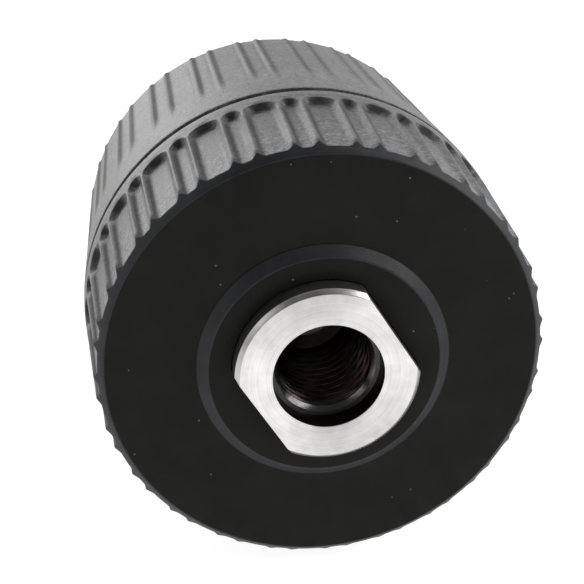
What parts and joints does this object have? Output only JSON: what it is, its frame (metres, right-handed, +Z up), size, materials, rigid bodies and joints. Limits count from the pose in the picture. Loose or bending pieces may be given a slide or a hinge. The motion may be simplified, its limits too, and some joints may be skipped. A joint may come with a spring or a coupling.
{
  "type": "keyless drill chuck",
  "caption": "Keyless two-sleeve drill chuck: turning the front sleeve drives slanted jaws in and out of the nose; screws onto a threaded spindle.",
  "frame": {"origin": "centre of the spindle socket's mouth, on the rear face of the steel boss", "axes": "+Y along the chuck's axis from the spindle end to the nose, +Z up through the first jaw, +X across"},
  "size_m": [0.0432, 0.0475, 0.0432],
  "materials": {
    "body_steel": "turned bright steel with fine tool marks",
    "rear_plastic": "matte black glass-filled nylon, scuffed grey on the grips",
    "front_plastic": "matte black glass-filled nylon, scuffed grey on the grips",
    "jaw_steel": "hardened and ground steel",
    "hard_steel": "ground bearing steel",
    "pressed_steel": "pressed sheet steel, lightly oiled",
    "nose_steel": "blackened steel",
    "spring_steel": "blued spring steel",
    "cage_brass": "stamped brass",
    "nylon": "natural nylon",
    "rubber": "moulded nitrile rubber"
  },
  "bodies": {
    "body": {"chuck_body": "body_steel", "rear_sleeve": "rear_plastic", "rear_sleeve_bush": "pressed_steel", "disc_spring": "spring_steel", "thrust_race_rear": "hard_steel", "sleeve_washer": "nylon", "snap_ring": "spring_steel", "drag_ring": "rubber", "nose_ring": "nose_steel"},
    "sleeve": {"front_sleeve": "front_plastic", "drive_ring": "pressed_steel", "nut_half_1": "hard_steel", "nut_half_2": "hard_steel", "nut_band": "pressed_steel", "thrust_race_front": "hard_steel"},
    "cage": {"ball_cage": "cage_brass", "bearing_balls": "hard_steel"},
    "jaw_1": {"jaw_1": "jaw_steel"},
    "jaw_2": {"jaw_2": "jaw_steel"},
    "jaw_3": {"jaw_3": "jaw_steel"}
  },
  "joints": [
    {"name": "sleeve_turn", "type": "hinge", "parent": "body", "child": "sleeve", "pos_m": [0, 0.03, 0], "axis": [0, -1, 0], "range_deg": [0, 3430]},
    {"name": "cage_turn", "type": "hinge", "parent": "body", "child": "cage", "pos_m": [0, 0.03, 0], "axis": [0, -1, 0], "range_deg": [0, 1716]},
    {"name": "jaw_1_slide", "type": "slide", "parent": "body", "child": "jaw_1", "axis": [0, 0.9659, -0.2588], "range_m": [0, 0.01777]},
    {"name": "jaw_2_slide", "type": "slide", "parent": "body", "child": "jaw_2", "axis": [-0.2241, 0.9659, 0.1294], "range_m": [0, 0.01777]},
    {"name": "jaw_3_slide", "type": "slide", "parent": "body", "child": "jaw_3", "axis": [0.2241, 0.9659, 0.1294], "range_m": [0, 0.01777]}
  ],
  "couplings": [
    {"joint": "cage_turn", "follows": "sleeve_turn", "ratio": 0.5},
    {"joint": "jaw_1_slide", "follows": "sleeve_turn", "m_per_rad": 0.00029658},
    {"joint": "jaw_2_slide", "follows": "sleeve_turn", "m_per_rad": 0.00029658},
    {"joint": "jaw_3_slide", "follows": "sleeve_turn", "m_per_rad": 0.00029658}
  ]
}
